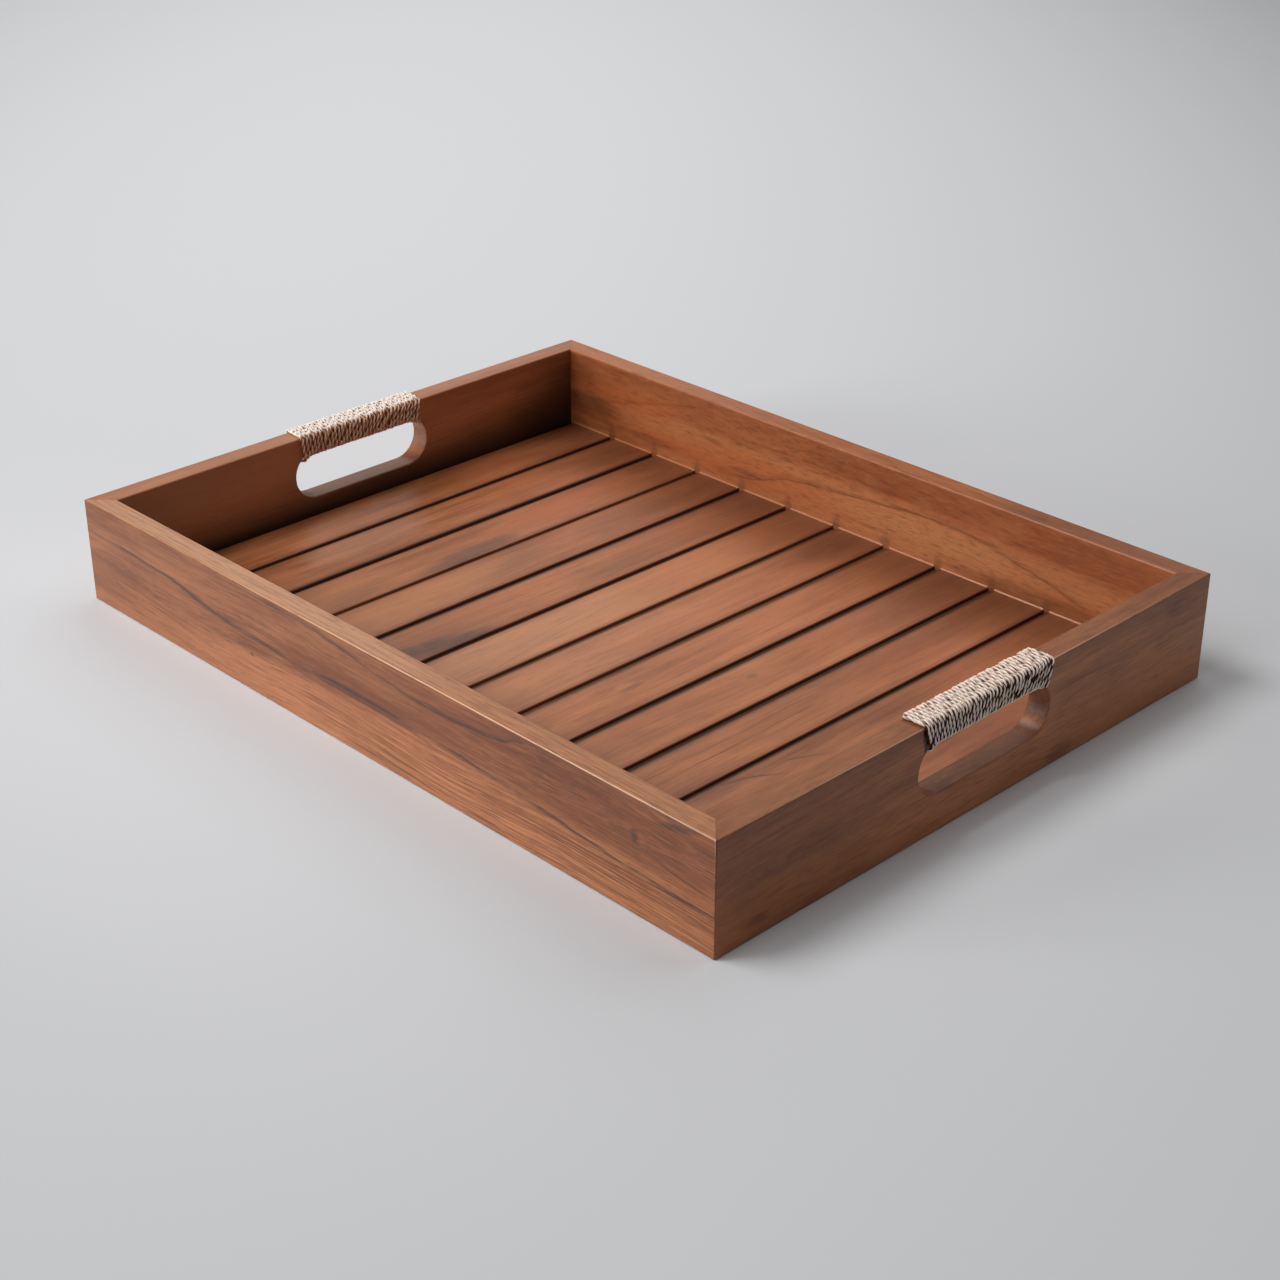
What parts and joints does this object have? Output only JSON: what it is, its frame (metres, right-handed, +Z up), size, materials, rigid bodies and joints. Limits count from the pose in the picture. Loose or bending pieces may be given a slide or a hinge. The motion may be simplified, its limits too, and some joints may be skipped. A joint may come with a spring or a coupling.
{
  "type": "serving tray",
  "caption": "Rectangular wooden serving tray with mitred side boards, a slatted floor and obround finger slots under cord-wrapped handle bars.",
  "frame": {"origin": "on the surface that the tray stands on, under the middle of its outline", "axes": "+X along the tray's length towards the right end board, +Y across it towards the rear board, +Z up"},
  "size_m": [0.485, 0.36, 0.0625],
  "materials": {
    "frame_wood": "oiled teak, satin, grain along each board",
    "floor_wood": "oiled teak, satin, grain along each stave",
    "spline_wood": "bare wood, hidden in the mitres",
    "handle_cord": "two-ply twisted paper or grass cord, matt"
  },
  "bodies": {
    "root": {"front_board": "frame_wood", "rear_board": "frame_wood", "left_end_board": "frame_wood", "right_end_board": "frame_wood", "floor_stave_01": "floor_wood", "floor_stave_02": "floor_wood", "floor_stave_03": "floor_wood", "floor_stave_04": "floor_wood", "floor_stave_05": "floor_wood", "floor_stave_06": "floor_wood", "floor_stave_07": "floor_wood", "floor_stave_08": "floor_wood", "floor_stave_09": "floor_wood", "floor_stave_10": "floor_wood", "floor_stave_11": "floor_wood", "floor_stave_12": "floor_wood", "corner_spline_front_left": "spline_wood", "corner_spline_front_right": "spline_wood", "corner_spline_rear_left": "spline_wood", "corner_spline_rear_right": "spline_wood", "left_handle_wrap": "handle_cord", "right_handle_wrap": "handle_cord"}
  },
  "joints": []
}
